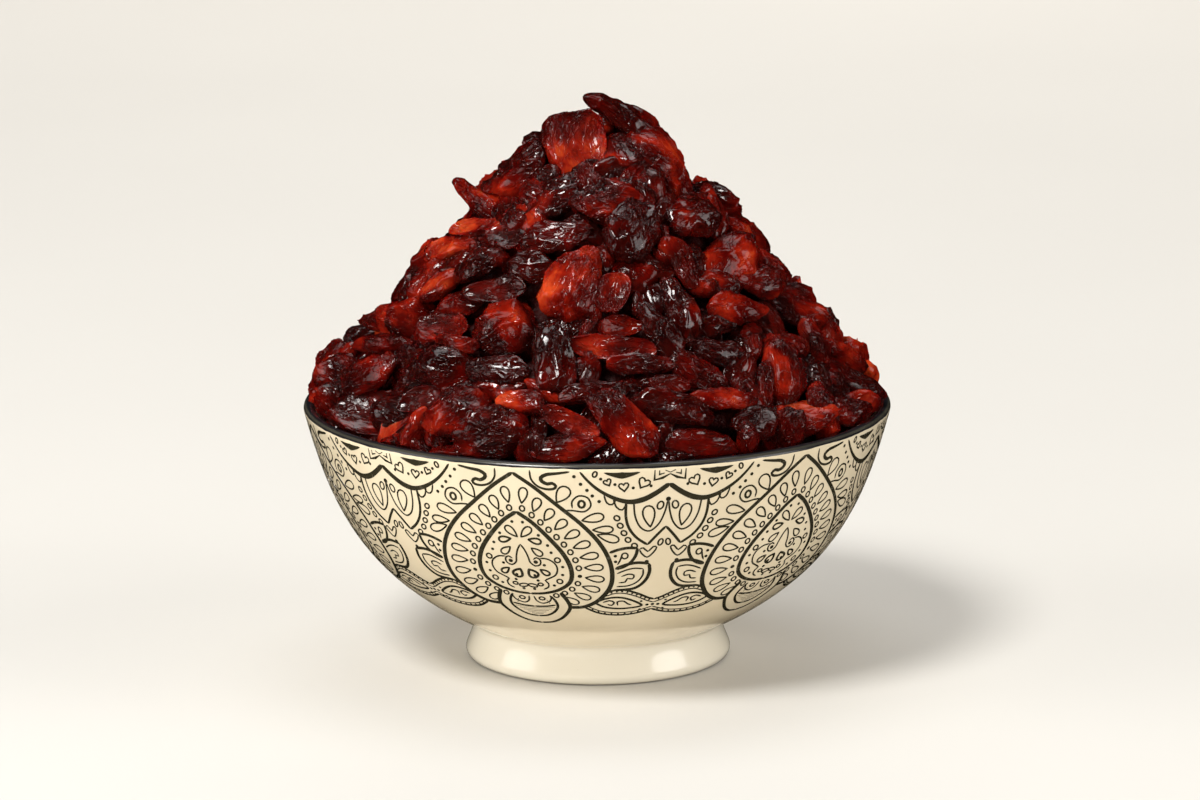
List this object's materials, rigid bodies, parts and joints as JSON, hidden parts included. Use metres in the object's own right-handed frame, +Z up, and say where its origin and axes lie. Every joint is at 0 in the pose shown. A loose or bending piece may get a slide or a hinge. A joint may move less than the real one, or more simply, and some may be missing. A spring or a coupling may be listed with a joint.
{
  "type": "bowl heaped with dried cranberries",
  "caption": "Small round footed porcelain rice bowl heaped high with wrinkled, glossy dark red dried cranberries; the heap rises to a blunt peak above the rim.",
  "frame": {"origin": "centre of the foot ring, on the surface that the bowl stands on", "axes": "+Z up along the bowl's axis of turning; -Y towards the side shown in the picture; +X to its right"},
  "size_m": [0.115, 0.115, 0.1121],
  "materials": {
    "porcelain": "glossy cream-white glaze with a dark olive-black printed ornament and a dark blue-black band on the lip",
    "dried_cranberry": "dried fruit skin, deep ruby to near-black red with brighter orange-red spots, wrinkled, slightly translucent, with a sticky gloss"
  },
  "bodies": {
    "root": {"bowl": "porcelain", "cranberry_heap": "dried_cranberry"}
  },
  "joints": []
}
